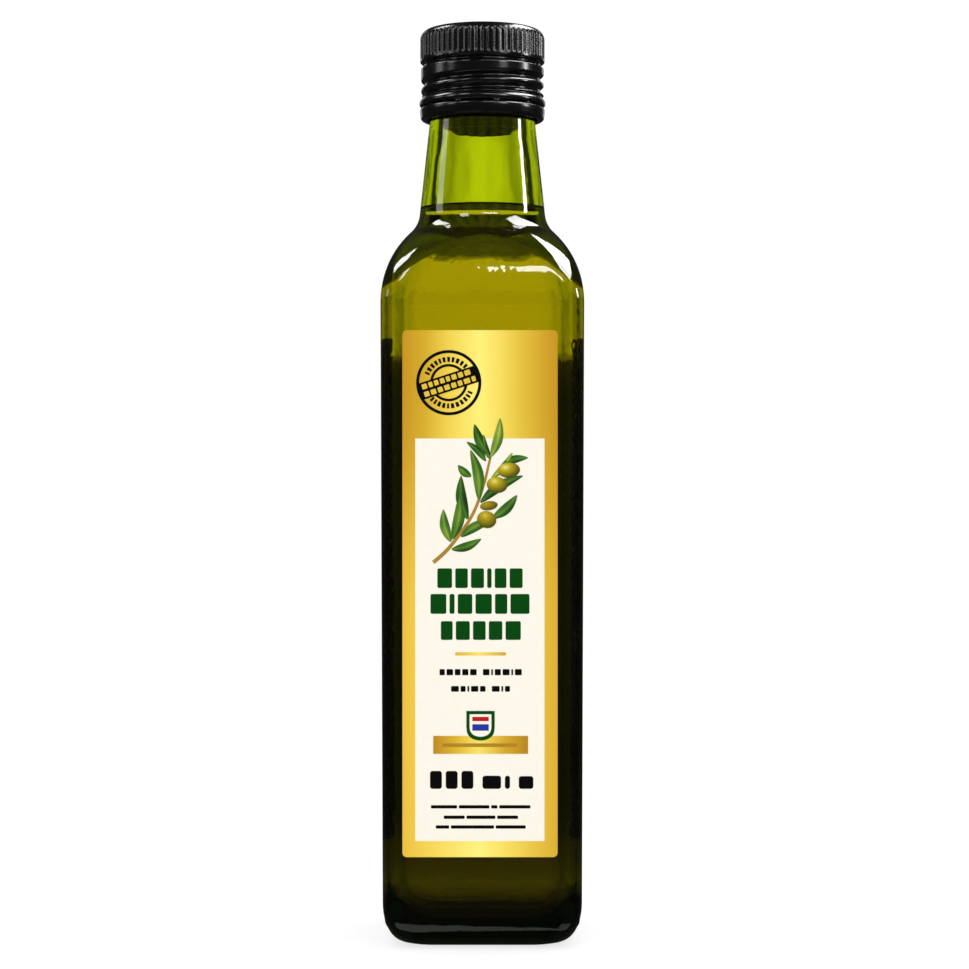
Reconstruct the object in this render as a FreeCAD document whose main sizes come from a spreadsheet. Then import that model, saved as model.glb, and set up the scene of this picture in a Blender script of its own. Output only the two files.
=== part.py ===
import FreeCAD, Part

import os
import Sketcher

# A square table-oil bottle of green glass: rounded square body with a slight taper,
# domed shoulder, flared round neck, rolled-on screw cap over a plug-in pourer, oil up to
# the foot of the neck, and one label on the front face and one on the back face.
# Millimetres, +Z up, origin at the middle of the standing ring, front face towards -Y.

doc = FreeCAD.newDocument("OilBottle")

# ---- driving sizes -----------------------------------------------------------------

driving_sizes = [
    # glass body
    ("base_half", 23.2, "half width of the body at the top of the heel"),
    ("top_half", 23.7, "half width of the body where the shoulder starts"),
    ("corner_radius", 5.0, "upright corners, outside"),
    ("heel_height", 10.0, "height of the rounded heel"),
    ("heel_inset", 5.4, "how far the heel draws in at the base"),
    ("heel_corner_gain", 2.5, "extra corner radius at the foot of the heel"),
    ("shoulder_start", 149.5, "height where the sides end"),
    ("shoulder_radius", 27.9, "dome of the shoulder in side view"),
    ("neck_fillet", 7.0, "hollow curve between shoulder and neck"),
    ("neck_slope", 6.2, "taper of the neck from the upright, degrees"),
    ("dome_ledge", 0.05, "how far the dome's last section stands outside the neck"),
    ("least_flat", 0.3, "flat left in the middle of that section's sides"),
    ("wall", 3.45, "glass thickness of sides, shoulder and neck"),
    ("inner_corner", 4.5, "upright corners, inside"),
    ("floor_height", 6.5, "inside floor above the table"),
    ("inner_heel_height", 8.0, "height of the inside heel"),
    ("inner_heel_inset", 6.0, "how far the inside heel draws in"),
    ("punt_radius", 13.5, "rim of the hollow under the base"),
    ("punt_top_radius", 5.0, "flat middle of that hollow"),
    ("punt_depth", 2.0, "depth of that hollow"),
    # mouth
    ("mouth_radius", 13.0, "outside of the glass mouth under the cap"),
    ("bore_radius", 9.5, "bore of the mouth"),
    ("collar_gap", 0.8, "from the cap's lower edge up to the mouth's collar"),
    ("collar_step", 0.5, "neck to collar, measured across"),
    # oil
    ("oil_level", 174.0, "surface of the oil"),
    # screw cap
    ("total_height", 216.0, "table to the top of the cap"),
    ("cap_height", 21.8, "top to lower edge of the cap"),
    ("cap_radius", 14.9, "over the knurled band"),
    ("cap_corner", 2.3, "rounding of the top edge"),
    ("cap_top_wall", 0.6, "top plate of the cap"),
    ("cap_gap", 0.15, "cap to glass mouth"),
    ("knurl_height", 7.1, "knurled band, from the top"),
    ("knurl_depth", 0.35, "depth of one knurl notch"),
    ("knurl_count", 60, "notches round the cap"),
    ("ring_depth", 1.0, "ring groove below the knurl"),
    ("ring_height", 2.2, "height of that groove"),
    ("thread_radius", 14.75, "crests of the rolled thread"),
    ("thread_groove", 0.75, "depth of the thread groove, and half its width"),
    ("thread_pitch", 2.7, "rise in one turn"),
    ("thread_turns", 1.75, "turns of the groove"),
    ("band_height", 3.0, "tamper band below its slit"),
    ("band_radius", 14.9, "outside of the tamper band"),
    ("band_curl", 1.0, "rounding of the band's lower edge"),
    ("slit_height", 0.5, "slit above the tamper band"),
    ("bridge_count", 10, "bridges across the slit"),
    ("bridge_angle", 5.0, "width of one bridge, degrees"),
    ("bead_radius", 15.1, "bead above the slit"),
    ("bead_height", 1.9, "height of the bead"),
    ("waist_radius", 14.2, "plain waist between bead and thread"),
    ("waist_height", 0.5, "height of the waist"),
    # pourer
    ("flange_thickness", 0.9, "pourer's rim on the glass lip"),
    ("plug_gap", 0.05, "pourer's plug to the bore"),
    ("plug_length", 22.9, "plug below the lip"),
    ("plug_wall", 1.2, "wall of the plug"),
    # labels
    ("label_width", 35.8, "both labels"),
    ("label_height", 121.6, "both labels"),
    ("label_bottom", 21.2, "lower edge above the table"),
    ("label_shift", -0.54, "front label off the middle of its face"),
    ("label_corner", 1.0, "label corners"),
    ("label_thickness", 0.2, "paper, foil and ink"),
]

dims = doc.addObject("Spreadsheet::Sheet", "dims")
for row, (alias, number, note) in enumerate(driving_sizes, start=1):
    dims.set(f"A{row}", alias.replace("_", " "))
    dims.set(f"B{row}", str(number))
    dims.setAlias(f"B{row}", alias)
    dims.set(f"C{row}", note)
doc.recompute()


def size_now(expression):
    """The number an expression has at present, for a sketch's first guess."""
    value = dims.evalExpression(expression)
    return float(getattr(value, "Value", value))


# ---- expressions that several pieces share -----------------------------------------

cap_bottom = "(dims.total_height - dims.cap_height)"
lip_height = "(dims.total_height - dims.cap_top_wall - dims.flange_thickness)"
collar_height = f"({cap_bottom} + dims.collar_gap)"
cap_bore = "(dims.mouth_radius + dims.cap_gap)"
neck_top_radius = "(dims.mouth_radius - dims.collar_step)"
side_slope = "((dims.top_half - dims.base_half) / (dims.shoulder_start - dims.heel_height))"

# In side view the dome is an arc about dome_centre. It runs on into the hollow arc about
# foot_centre, and that one into the straight neck, so the turn of the dome follows from
# how far the neck's line passes outside the dome's centre.
slope = "dims.neck_slope * 1 deg"
dome_centre = "(dims.top_half - dims.shoulder_radius)"
neck_reach = (
    f"(({neck_top_radius} - {dome_centre}) * cos({slope})"
    f" + ({collar_height} - dims.shoulder_start) * sin({slope}))")
arcs_apart = "(dims.shoulder_radius + dims.neck_fillet)"
dome_turn = f"({slope} + acos((dims.neck_fillet + {neck_reach}) / {arcs_apart}))"
dome_end_radius = f"({dome_centre} + dims.shoulder_radius * cos({dome_turn}))"
dome_end_height = f"(dims.shoulder_start + dims.shoulder_radius * sin({dome_turn}))"
foot_centre_radius = f"({dome_centre} + {arcs_apart} * cos({dome_turn}))"
foot_centre_height = f"(dims.shoulder_start + {arcs_apart} * sin({dome_turn}))"


def neck_point(inset, turn):
    """Radius and height on the neck-foot curve, inset into the glass, at a turn."""
    radius = f"({foot_centre_radius} - (dims.neck_fillet + {inset}) * cos({turn}))"
    height = f"({foot_centre_height} - (dims.neck_fillet + {inset}) * sin({turn}))"
    return radius, height


def cone_radius(inset, height):
    """Radius of the neck's cone, inset into the glass, at a height."""
    start_radius, start_height = neck_point(inset, slope)
    return f"({start_radius} - ({height} - {start_height}) * tan({slope}))"


def cone_height(inset, radius):
    """Height at which the neck's cone, inset into the glass, has a radius."""
    start_radius, start_height = neck_point(inset, slope)
    return f"({start_height} + ({start_radius} - {radius}) / tan({slope}))"


# ---- sketch helpers ----------------------------------------------------------------

def bind(sketch, constraint, name, expression):
    """Add a sized constraint, name it and tie it to the sheet."""
    index = sketch.addConstraint(constraint)
    sketch.renameConstraint(index, name)
    sketch.setExpression(f"Constraints.{name}", expression)


def rounded_square(name, height, half, corner):
    """A level section of the square body: four sides and four corner arcs."""
    sketch = doc.addObject("Sketcher::SketchObject", name)
    half_now = size_now(half)
    corner_now = size_now(corner)
    flat = half_now - corner_now
    for side in range(4):
        turn = FreeCAD.Rotation(FreeCAD.Vector(0, 0, 1), 90 * side)
        start = turn.multVec(FreeCAD.Vector(-flat, -half_now, 0))
        end = turn.multVec(FreeCAD.Vector(flat, -half_now, 0))
        sketch.addGeometry(Part.LineSegment(start, end))
    for side in range(4):
        turn = FreeCAD.Rotation(FreeCAD.Vector(0, 0, 1), 90 * side)
        centre = turn.multVec(FreeCAD.Vector(flat, -flat, 0))
        circle = Part.Circle(centre, FreeCAD.Vector(0, 0, 1), corner_now)
        first = FreeCAD.Units.Quantity(90 * (side - 1), FreeCAD.Units.Angle).getValueAs("rad")
        last = FreeCAD.Units.Quantity(90 * side, FreeCAD.Units.Angle).getValueAs("rad")
        sketch.addGeometry(Part.ArcOfCircle(circle, float(first), float(last)))
    for side in range(4):
        arc = 4 + side
        following = (side + 1) % 4
        sketch.addConstraint(Sketcher.Constraint("Tangent", side, 2, arc, 1))
        sketch.addConstraint(Sketcher.Constraint("Tangent", arc, 2, following, 1))
        sketch.addConstraint(Sketcher.Constraint("Vertical" if side % 2 else "Horizontal", side))
        if side:
            sketch.addConstraint(Sketcher.Constraint("Equal", 4, arc))
    bind(sketch, Sketcher.Constraint("Radius", 4, corner_now), "corner", corner)
    bind(sketch, Sketcher.Constraint("DistanceY", 0, 1, -1, 1, half_now), "front", half)
    bind(sketch, Sketcher.Constraint("DistanceX", -1, 1, 1, 1, half_now), "right", half)
    bind(sketch, Sketcher.Constraint("DistanceY", -1, 1, 2, 1, half_now), "back", half)
    bind(sketch, Sketcher.Constraint("DistanceX", 3, 1, -1, 1, half_now), "left", half)
    sketch.setExpression("Placement.Base.z", height)
    return sketch


def profile(sketch, corners, arcs=()):
    """A closed outline in the XZ plane.

    corners holds (radius, height) expressions in order. arcs holds (corner number, radius
    expression, bulge): that corner and the next are joined by an arc, whose centre lies on
    the left of the way for bulge 1 and on the right for bulge -1.
    """
    points = [FreeCAD.Vector(size_now(x), size_now(z), 0) for x, z in corners]
    arc_at = {number: (radius, bulge) for number, radius, bulge in arcs}
    arc_starts = {}
    for number, start in enumerate(points):
        end = points[(number + 1) % len(points)]
        if number not in arc_at:
            sketch.addGeometry(Part.LineSegment(start, end))
            arc_starts[number] = 1
            continue
        radius, bulge = arc_at[number]
        radius_now = size_now(radius)
        middle = (start + end) * 0.5
        along = end - start
        left = FreeCAD.Vector(-along.y, along.x, 0)
        left.normalize()
        reach = max(radius_now ** 2 - (along.Length / 2) ** 2, 0) ** 0.5
        centre = middle + left * (bulge * reach)
        outward = middle - centre
        if outward.Length < 1e-6:
            outward = left * -bulge
        outward.normalize()
        arc = Part.Arc(start, centre + outward * radius_now, end)
        sketch.addGeometry(arc)
        # a sketch keeps its arcs anticlockwise, so one that bulges right starts at its end
        arc_starts[number] = 1 if bulge > 0 else 2
    for number in range(len(points)):
        following = (number + 1) % len(points)
        end_point = 3 - arc_starts[number]
        sketch.addConstraint(
            Sketcher.Constraint("Coincident", number, end_point, following, arc_starts[following]))
    for number, (x, z) in enumerate(corners):
        point = arc_starts[number]
        if x == "0":
            sketch.addConstraint(Sketcher.Constraint("PointOnObject", number, point, -2))
        else:
            across = Sketcher.Constraint("DistanceX", -1, 1, number, point, points[number].x)
            bind(sketch, across, f"across_{number}", x)
        if z == "0":
            sketch.addConstraint(Sketcher.Constraint("PointOnObject", number, point, -1))
        else:
            up = Sketcher.Constraint("DistanceY", -1, 1, number, point, points[number].y)
            bind(sketch, up, f"up_{number}", z)
    for number, (radius, bulge) in arc_at.items():
        bend = Sketcher.Constraint("Radius", number, size_now(radius))
        bind(sketch, bend, f"bend_{number}", radius)


def upright_sketch(name):
    """A sketch that stands in the XZ plane, outside any body."""
    sketch = doc.addObject("Sketcher::SketchObject", name)
    sketch.Placement = FreeCAD.Placement(
        FreeCAD.Vector(0, 0, 0), FreeCAD.Rotation(FreeCAD.Vector(1, 0, 0), 90))
    return sketch


def loft(name, sections):
    feature = doc.addObject("Part::Loft", name)
    feature.Sections = sections
    feature.Solid = True
    feature.Ruled = len(sections) == 2
    return feature


def revolve(name, sketch):
    feature = doc.addObject("Part::Revolution", name)
    feature.Source = sketch
    feature.Axis = FreeCAD.Vector(0, 0, 1)
    feature.Angle = 360
    feature.Solid = True
    return feature


def fuse(name, shapes):
    feature = doc.addObject("Part::MultiFuse", name)
    feature.Shapes = shapes
    feature.Refine = True
    return feature


def cut(name, base, tool):
    feature = doc.addObject("Part::Cut", name)
    feature.Base = base
    feature.Tool = tool
    return feature


# ---- glass: heel, sides, shoulder and neck, outside or inside ----------------------

heel_turns = [0, 25, 45, 65, 90]
shoulder_steps = [0, 0.15, 0.3, 0.45, 0.6, 0.75, 0.88, 1]


def square_stack(name, inset, foot, heel_rise, heel_draw, corner, foot_gain):
    """The square part of the outside (inset 0) or of the cavity, as three lofts."""
    heel_top = f"({foot} + {heel_rise})"
    low_half = f"(dims.base_half + {side_slope} * ({heel_top} - dims.heel_height) - {inset})"
    heel = []
    for turn in heel_turns:
        height = f"{foot} + {heel_rise} * (1 - cos({turn} deg))"
        half = f"{low_half} - {heel_draw} * (1 - sin({turn} deg))"
        bend = f"{corner} + {foot_gain} * (1 - sin({turn} deg))"
        heel.append(rounded_square(f"{name}_heel_{turn}", height, half, bend))
    dome_radius = f"(dims.shoulder_radius - {inset})"
    flat_at_start = f"(dims.top_half - {inset} - {corner})"
    dome = []
    for step in shoulder_steps:
        turn = f"{dome_turn} * {step}"
        rise = f"(sin({turn}) / sin({dome_turn}))"
        height = f"dims.shoulder_start + {dome_radius} * sin({turn})"
        half = f"({dome_centre} + {dome_radius} * cos({turn}) + dims.dome_ledge * {rise} ^ 8)"
        bend = f"{half} - dims.least_flat - {flat_at_start} * (1 - {rise} * {rise})"
        dome.append(rounded_square(f"{name}_dome_{int(step * 100)}", height, half, bend))
    return [
        loft(f"{name}_heel", heel),
        loft(f"{name}_sides", [heel[-1], dome[0]]),
        loft(f"{name}_dome", dome),
    ]


outside = square_stack(
    "outside", "0", "0", "dims.heel_height", "dims.heel_inset",
    "dims.corner_radius", "dims.heel_corner_gain")
inside = square_stack(
    "inside", "dims.wall", "dims.floor_height", "dims.inner_heel_height",
    "dims.inner_heel_inset", "dims.inner_corner", "0")

neck_outline = upright_sketch("neck_outline")
profile(
    neck_outline,
    [
        ("0", dome_end_height),
        (dome_end_radius, dome_end_height),
        neck_point("0", slope),
        (cone_radius("0", collar_height), collar_height),
        ("dims.mouth_radius", collar_height),
        ("dims.mouth_radius", lip_height),
        ("0", lip_height),
    ],
    arcs=[(1, "dims.neck_fillet", -1)])

bore_foot = cone_height("dims.wall", "dims.bore_radius")
bore_outline = upright_sketch("bore_outline")
bore_start = neck_point("dims.wall", dome_turn)
profile(
    bore_outline,
    [
        ("0", bore_start[1]),
        bore_start,
        neck_point("dims.wall", slope),
        ("dims.bore_radius", bore_foot),
        ("dims.bore_radius", lip_height),
        ("0", lip_height),
    ],
    arcs=[(1, "dims.neck_fillet + dims.wall", -1)])

glass_outside = fuse("glass_outside", outside + [revolve("neck", neck_outline)])
cavity = fuse("cavity", inside + [revolve("bore", bore_outline)])

# the shallow hollow under the base
punt = doc.addObject("Part::Cone", "punt")
punt.setExpression("Radius1", "dims.punt_radius")
punt.setExpression("Radius2", "dims.punt_top_radius")
punt.setExpression("Height", "dims.punt_depth")

hollow_glass = cut("hollow_glass", glass_outside, cavity)
glass_bottle = cut("glass_bottle", hollow_glass, punt)

# ---- oil: the cavity up to its level -----------------------------------------------

headspace = doc.addObject("Part::Cylinder", "headspace")
headspace.setExpression("Radius", "dims.top_half * 2")
headspace.setExpression("Height", "dims.total_height - dims.oil_level")
headspace.setExpression("Placement.Base.z", "dims.oil_level")
oil = cut("oil", cavity, headspace)


# ---- bodies made with PartDesign ---------------------------------------------------

def origin_plane(body, role):
    return next(item for item in body.Origin.OriginFeatures if item.Role == role)


def body_sketch(body, name, role="XZ_Plane"):
    sketch = body.newObject("Sketcher::SketchObject", name)
    sketch.AttachmentSupport = (origin_plane(body, role), [""])
    sketch.MapMode = "FlatFace"
    return sketch


def revolution(body, name, sketch):
    feature = body.newObject("PartDesign::Revolution", name)
    feature.Profile = sketch
    feature.ReferenceAxis = (sketch, ["V_Axis"])
    feature.Angle = 360
    return feature


def polar_pattern(body, name, feature, count):
    pattern = body.newObject("PartDesign::PolarPattern", name)
    pattern.Originals = [feature]
    pattern.Axis = (origin_plane(body, "Z_Axis"), [""])
    pattern.Angle = 360
    pattern.setExpression("Occurrences", count)
    body.Tip = pattern
    return pattern


# ---- pourer: a plug in the bore with a rim on the glass lip -------------------------

pourer = doc.addObject("PartDesign::Body", "pourer")
plug_radius = "dims.bore_radius - dims.plug_gap"
plug_foot = f"{lip_height} - dims.plug_length"
pourer_outline = body_sketch(pourer, "pourer_outline")
profile(
    pourer_outline,
    [
        (f"{plug_radius} - dims.plug_wall", plug_foot),
        (plug_radius, plug_foot),
        (plug_radius, lip_height),
        ("dims.mouth_radius - dims.cap_gap", lip_height),
        ("dims.mouth_radius - dims.cap_gap", f"{lip_height} + dims.flange_thickness"),
        (f"{plug_radius} - dims.plug_wall", f"{lip_height} + dims.flange_thickness"),
    ])
revolution(pourer, "pourer_turned", pourer_outline)

# ---- screw cap: turned shell, rolled thread, slit with bridges, knurl ---------------

screw_cap = doc.addObject("PartDesign::Body", "screw_cap")
cap_inner_top = "dims.total_height - dims.cap_top_wall"
knurl_bottom = "(dims.total_height - dims.knurl_height)"
ring_bottom = f"({knurl_bottom} - dims.ring_height)"
slit_bottom = f"({cap_bottom} + dims.band_height)"
slit_top = f"({slit_bottom} + dims.slit_height)"
bead_top = f"({slit_top} + dims.bead_height)"
waist_top = f"({bead_top} + dims.waist_height)"
thread_foot = f"({waist_top} + dims.thread_groove * 0.2)"

shell_outline = body_sketch(screw_cap, "shell_outline")
profile(
    shell_outline,
    [
        ("0", "dims.total_height"),
        ("0", cap_inner_top),
        (cap_bore, cap_inner_top),
        (cap_bore, cap_bottom),
        ("dims.band_radius - dims.band_curl", cap_bottom),
        ("dims.band_radius", f"{cap_bottom} + dims.band_curl"),
        ("dims.band_radius", slit_top),
        ("dims.bead_radius", f"{slit_top} + dims.bead_height * 0.4"),
        ("dims.waist_radius", bead_top),
        ("dims.waist_radius", waist_top),
        ("dims.thread_radius", f"{waist_top} + dims.thread_groove * 0.5"),
        ("dims.thread_radius", ring_bottom),
        ("dims.cap_radius - dims.ring_depth", f"{ring_bottom} + dims.ring_height * 0.3"),
        ("dims.cap_radius - dims.ring_depth", f"{ring_bottom} + dims.ring_height * 0.45"),
        ("dims.cap_radius", knurl_bottom),
        ("dims.cap_radius", "dims.total_height - dims.cap_corner"),
        ("dims.cap_radius - dims.cap_corner", "dims.total_height"),
    ],
    arcs=[(4, "dims.band_curl", 1), (15, "dims.cap_corner", 1)])
revolution(screw_cap, "shell_turned", shell_outline)

# the groove starts on the left of the front and climbs anticlockwise seen from above
groove_section = body_sketch(screw_cap, "groove_section")
groove_mouth = "(dims.thread_radius + dims.thread_groove / 2) * -1"
groove_bed = "(dims.thread_radius - dims.thread_groove) * -1"
profile(
    groove_section,
    [
        (groove_mouth, f"{thread_foot} - dims.thread_groove"),
        (groove_bed, f"{thread_foot} - dims.thread_groove / 3"),
        (groove_bed, f"{thread_foot} + dims.thread_groove / 3"),
        (groove_mouth, f"{thread_foot} + dims.thread_groove"),
    ])
thread = screw_cap.newObject("PartDesign::SubtractiveHelix", "thread")
thread.Profile = groove_section
thread.ReferenceAxis = (groove_section, ["V_Axis"])
thread.Mode = 0
thread.setExpression("Pitch", "dims.thread_pitch")
thread.setExpression("Height", "dims.thread_pitch * dims.thread_turns")

# one slot of the slit is a part turn, and the pattern leaves the bridges standing
slot_section = body_sketch(screw_cap, "slot_section")
profile(
    slot_section,
    [
        ("dims.mouth_radius", slit_bottom),
        ("dims.bead_radius * 1.1", slit_bottom),
        ("dims.bead_radius * 1.1", slit_top),
        ("dims.mouth_radius", slit_top),
    ])
slot = screw_cap.newObject("PartDesign::Groove", "slot")
slot.Profile = slot_section
slot.ReferenceAxis = (slot_section, ["V_Axis"])
slot.setExpression("Angle", "360 / dims.bridge_count - dims.bridge_angle")
polar_pattern(screw_cap, "slit", slot, "dims.bridge_count")

# one knurl notch, cut down from below the rounded top edge
notch_section = body_sketch(screw_cap, "notch_section", "XY_Plane")
notch_section.setExpression("AttachmentOffset.Base.z", "dims.total_height - dims.cap_corner / 2")
notch_half = "(dims.cap_radius * pi / dims.knurl_count / 2)"
profile(
    notch_section,
    [
        ("dims.cap_radius - dims.knurl_depth", "0"),
        ("dims.cap_radius + dims.knurl_depth", f"{notch_half} * -1.8"),
        ("dims.cap_radius + dims.knurl_depth", f"{notch_half} * 1.8"),
    ])
notch = screw_cap.newObject("PartDesign::Pocket", "notch")
notch.Profile = notch_section
notch.setExpression("Length", "dims.knurl_height - dims.cap_corner / 2")
polar_pattern(screw_cap, "knurl", notch, "dims.knurl_count")


# ---- labels: thin sheets on the front and back faces -------------------------------

def label(name, side):
    """A label on the front face (side -1) or the back face (side 1)."""
    body = doc.addObject("PartDesign::Body", name)
    outline = body_sketch(body, f"{name}_outline")
    shift = "dims.label_shift" if side < 0 else "0"
    left = f"{shift} - dims.label_width / 2"
    right = f"{shift} + dims.label_width / 2"
    top = "dims.label_bottom + dims.label_height"
    bend = "dims.label_corner"
    profile(
        outline,
        [
            (f"{left} + {bend}", "dims.label_bottom"),
            (f"{right} - {bend}", "dims.label_bottom"),
            (right, f"dims.label_bottom + {bend}"),
            (right, f"{top} - {bend}"),
            (f"{right} - {bend}", top),
            (f"{left} + {bend}", top),
            (left, f"{top} - {bend}"),
            (left, f"dims.label_bottom + {bend}"),
        ],
        arcs=[(1, bend, 1), (3, bend, 1), (5, bend, 1), (7, bend, 1)])
    sheet = body.newObject("PartDesign::Pad", f"{name}_sheet")
    sheet.Profile = outline
    sheet.Reversed = side > 0
    sheet.setExpression("Length", "dims.label_thickness")
    # the face leans outwards as it rises, and the label leans with it
    body.Placement = FreeCAD.Placement(
        FreeCAD.Vector(0, 0, 0), FreeCAD.Rotation(FreeCAD.Vector(-side, 0, 0), 1))
    body.setExpression(
        "Placement.Base.y", f"{side} * (dims.base_half - {side_slope} * dims.heel_height)")
    body.setExpression("Placement.Rotation.Angle", f"atan({side_slope})")
    return body


front_label = label("front_label", -1)
back_label = label("back_label", 1)

# ---- build, check and write --------------------------------------------------------

sub_parts = [glass_bottle, oil, pourer, screw_cap, front_label, back_label]

doc.recompute()
for item in doc.Objects:
    if "Invalid" in item.State or "Error" in item.State:
        raise RuntimeError(f"{item.Name} failed: {item.State}")
for part in sub_parts:
    if part.Shape.isNull() or not part.Shape.isValid():
        raise RuntimeError(f"{part.Label} has no valid shape")
    if len(part.Shape.Solids) != 1:
        raise RuntimeError(f"{part.Label} is not one solid")

os.makedirs("parts", exist_ok=True)
for part in sub_parts:
    part.Shape.exportStep(f"parts/{part.Label}.step")
    print(part.Label, "volume", round(part.Shape.Volume / 1000, 2), "ml")
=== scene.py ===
import bmesh
import bpy
import math
import random
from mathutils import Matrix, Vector


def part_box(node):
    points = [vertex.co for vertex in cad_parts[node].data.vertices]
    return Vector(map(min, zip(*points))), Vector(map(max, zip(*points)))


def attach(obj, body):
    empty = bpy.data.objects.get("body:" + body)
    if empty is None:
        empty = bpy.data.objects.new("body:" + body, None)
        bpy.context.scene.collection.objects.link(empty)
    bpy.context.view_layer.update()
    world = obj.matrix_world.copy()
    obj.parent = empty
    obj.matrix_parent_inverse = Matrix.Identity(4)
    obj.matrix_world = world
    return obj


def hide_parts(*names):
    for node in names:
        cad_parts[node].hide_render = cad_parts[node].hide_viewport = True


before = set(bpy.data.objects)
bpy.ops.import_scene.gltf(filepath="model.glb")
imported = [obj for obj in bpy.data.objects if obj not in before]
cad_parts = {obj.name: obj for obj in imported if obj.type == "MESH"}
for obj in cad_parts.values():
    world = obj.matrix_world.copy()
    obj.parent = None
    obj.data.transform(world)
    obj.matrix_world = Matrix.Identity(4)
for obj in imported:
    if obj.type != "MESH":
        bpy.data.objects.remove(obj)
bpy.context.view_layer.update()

# everything below is worked out in millimetres, +Z up, front label towards -Y
mm = 0.001
random.seed(11)


def boxMm(node):
    low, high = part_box(node)
    return low / mm, high / mm


glassHigh = boxMm("glass_bottle")[1]
oilLow, oilHigh = boxMm("oil")
plugLow, plugHigh = boxMm("pourer")
capLow, capHigh = boxMm("screw_cap")
labelLow, labelHigh = boxMm("front_label")
backLow, backHigh = boxMm("back_label")
print("stage 1: frame loaded")


# mesh helpers

def mix(first, second, share):
    return first + (second - first) * share


def softStep(low, high, value):
    share = min(max((value - low) / (high - low), 0), 1)
    return share * share * (3 - 2 * share)


def flowThrough(points, steps):
    # a smooth line through outline points, several steps between each two
    line = []
    for i in range(len(points) - 1):
        before = Vector(points[max(i - 1, 0)])
        start = Vector(points[i])
        end = Vector(points[i + 1])
        after = Vector(points[min(i + 2, len(points) - 1)])
        for step in range(steps):
            t = step / steps
            line.append(
                0.5 * (2 * start + (end - before) * t
                       + (2 * before - 5 * start + 4 * end - after) * t * t
                       + (3 * start - before - 3 * end + after) * t ** 3))
    line.append(Vector(points[-1]))
    return line


def roundRing(radius, height, count, cutter=None):
    # a level ring, with a cutter that says how deep it is cut at each turn
    ring = []
    for i in range(count):
        turn = 2 * math.pi * i / count
        here = radius - (cutter(turn, height) if cutter else 0)
        ring.append((here * math.cos(turn), here * math.sin(turn), height))
    return ring


def skinRings(bm, rings, joinEnds=False, closeStart=False, closeEnd=False):
    rows = [[bm.verts.new(Vector(point) * mm) for point in ring] for ring in rings]
    pairs = list(zip(rows, rows[1:]))
    if joinEnds:
        pairs.append((rows[-1], rows[0]))
    for lower, upper in pairs:
        for i in range(len(lower)):
            j = (i + 1) % len(lower)
            bm.faces.new((lower[i], lower[j], upper[j], upper[i]))
    for wanted, row in ((closeStart, rows[0]), (closeEnd, rows[-1])):
        if wanted:
            pole = bm.verts.new(sum((v.co for v in row), Vector()) / len(row))
            for i in range(len(row)):
                bm.faces.new((row[i], row[(i + 1) % len(row)], pole))
    return rows


def placeMesh(name, bm, material):
    mesh = bpy.data.meshes.new(name)
    bm.to_mesh(mesh)
    bm.free()
    mesh.materials.append(material)
    item = bpy.data.objects.new(name, mesh)
    bpy.context.scene.collection.objects.link(item)
    return item


def addPiece(name, bm, material, replaced=(), sharpAngle=None, evenNormals=True):
    bmesh.ops.recalc_face_normals(bm, faces=bm.faces)
    piece = placeMesh(name, bm, material)
    piece.data.shade_smooth()
    if sharpAngle:
        piece.data.set_sharp_from_angle(angle=math.radians(sharpAngle))
    if evenNormals:
        weighted = piece.modifiers.new("evenNormals", "WEIGHTED_NORMAL")
        weighted.keep_sharp = True
    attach(piece, "root")
    if replaced:
        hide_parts(*replaced)
    return piece


def addPrint(name, bm, finish, replaced=()):
    # labels and their print are flat, so their normals stay plain
    return addPiece(name, bm, finish, replaced, 30, False)


# shader helpers and the effects that several finishes share

def newGroup(name, inputs, outputs):
    group = bpy.data.node_groups.new(name, "ShaderNodeTree")
    for socketName, socketType, value in inputs:
        socket = group.interface.new_socket(socketName, in_out="INPUT", socket_type=socketType)
        socket.default_value = value
    for socketName, socketType in outputs:
        group.interface.new_socket(socketName, in_out="OUTPUT", socket_type=socketType)
    return group, group.nodes.new("NodeGroupInput"), group.nodes.new("NodeGroupOutput")


def addNode(nodes, kind, values=(), **settings):
    # a shader node with its settings, and the numbers or colours on its sockets
    node = nodes.new("ShaderNode" + kind)
    for setting, value in settings.items():
        setattr(node, setting, value)
    for socket, value in dict(values).items():
        node.inputs[socket].default_value = value
    return node


def addRamp(nodes, stops):
    ramp = addNode(nodes, "ValToRGB")
    elements = ramp.color_ramp.elements
    for element, (position, colour) in zip(elements[:2], (stops[0], stops[-1])):
        element.position = position
        element.color = (*colour, 1)
    for position, colour in stops[1:-1]:
        elements.new(position).color = (*colour, 1)
    return ramp


def buildMottle():
    # slow cloudiness between two numbers
    group, given, result = newGroup(
        "mottle",
        [("Scale", "NodeSocketFloat", 100.0), ("Low", "NodeSocketFloat", 0.2),
         ("High", "NodeSocketFloat", 0.3)],
        [("Value", "NodeSocketFloat")])
    nodes, links = group.nodes, group.links
    place = addNode(nodes, "TexCoord")
    cloud = addNode(nodes, "TexNoise", {"Detail": 4.0, "Roughness": 0.6})
    spread = addNode(nodes, "MapRange", {"From Min": 0.3, "From Max": 0.7})
    links.new(place.outputs["Object"], cloud.inputs["Vector"])
    links.new(given.outputs["Scale"], cloud.inputs["Scale"])
    links.new(cloud.outputs["Fac"], spread.inputs["Value"])
    links.new(given.outputs["Low"], spread.inputs["To Min"])
    links.new(given.outputs["High"], spread.inputs["To Max"])
    links.new(spread.outputs["Result"], result.inputs["Value"])
    return group


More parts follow.
